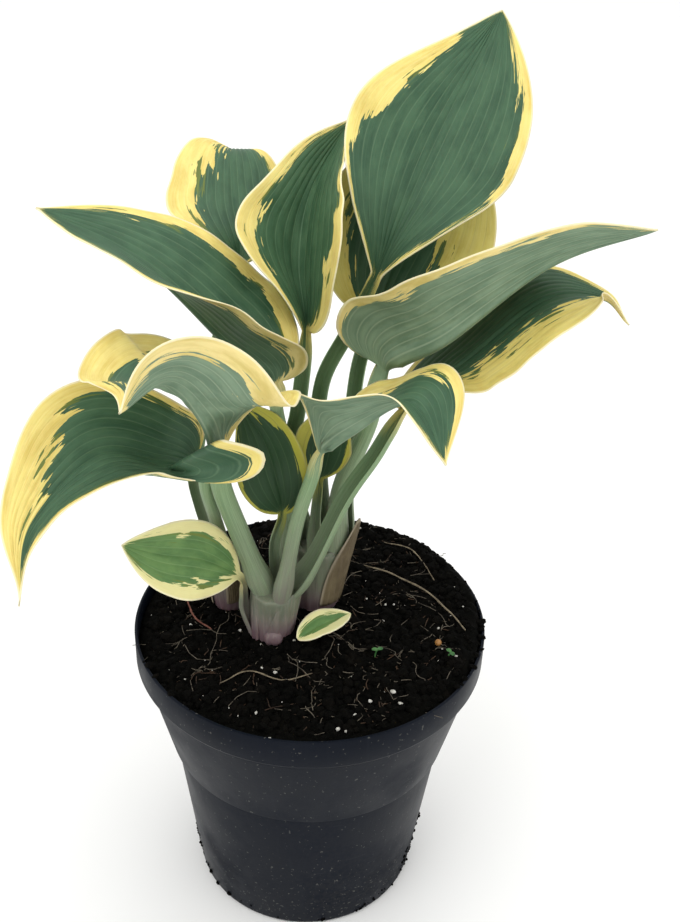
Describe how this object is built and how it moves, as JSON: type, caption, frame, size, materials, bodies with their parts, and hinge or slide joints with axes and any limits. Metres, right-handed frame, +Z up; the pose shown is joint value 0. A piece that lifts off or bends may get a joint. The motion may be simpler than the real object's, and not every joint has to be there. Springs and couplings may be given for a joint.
{
  "type": "potted hosta plant",
  "caption": "Young variegated foliage plant, blue-green leaves with yellow margins on channelled stalks, rooted in potting soil in a round tapered nursery pot.",
  "frame": {"origin": "centre of the pot's flat base, on the surface it stands on", "axes": "+Z up along the pot's axis; -Y towards the side the plant is looked at from; +X to that viewer's right"},
  "size_m": [0.1926, 0.1683, 0.3243],
  "materials": {
    "pot": "satin",
    "soil": "matte",
    "rootstock": "matte",
    "shoot": "satin",
    "bract": "matte",
    "leaf": "satin",
    "stalk": "satin",
    "strand": "matte",
    "twig": "matte",
    "granule": "satin"
  },
  "bodies": {
    "root": {"pot": "pot", "soil": "soil", "rootstock": "rootstock", "shoot_front": "shoot", "shoot_left": "shoot", "shoot_right": "shoot", "shoot_bract": "bract", "blade_back_tall": "leaf", "blade_back_middle": "leaf", "blade_back_left": "leaf", "blade_back_low": "leaf", "blade_left_long": "leaf", "blade_left_nodding": "leaf", "blade_left_drooping": "leaf", "blade_right_nodding": "leaf", "blade_right_long": "leaf", "blade_right_low": "leaf", "blade_centre_small": "leaf", "blade_inner_small": "leaf", "blade_low_small": "leaf", "blade_on_soil": "leaf", "stalk_back_tall": "stalk", "stalk_back_middle": "stalk", "stalk_back_left": "stalk", "stalk_back_low": "stalk", "stalk_left_long": "stalk", "stalk_left_nodding": "stalk", "stalk_left_drooping": "stalk", "stalk_right_nodding": "stalk", "stalk_right_long": "stalk", "stalk_right_low": "stalk", "stalk_centre_small": "stalk", "stalk_inner_small": "stalk", "stalk_low_small": "stalk", "root_strand_long": "strand", "root_strand_back": "strand", "root_strand_front": "strand", "twig_left": "twig", "feed_granule": "granule"}
  },
  "joints": []
}
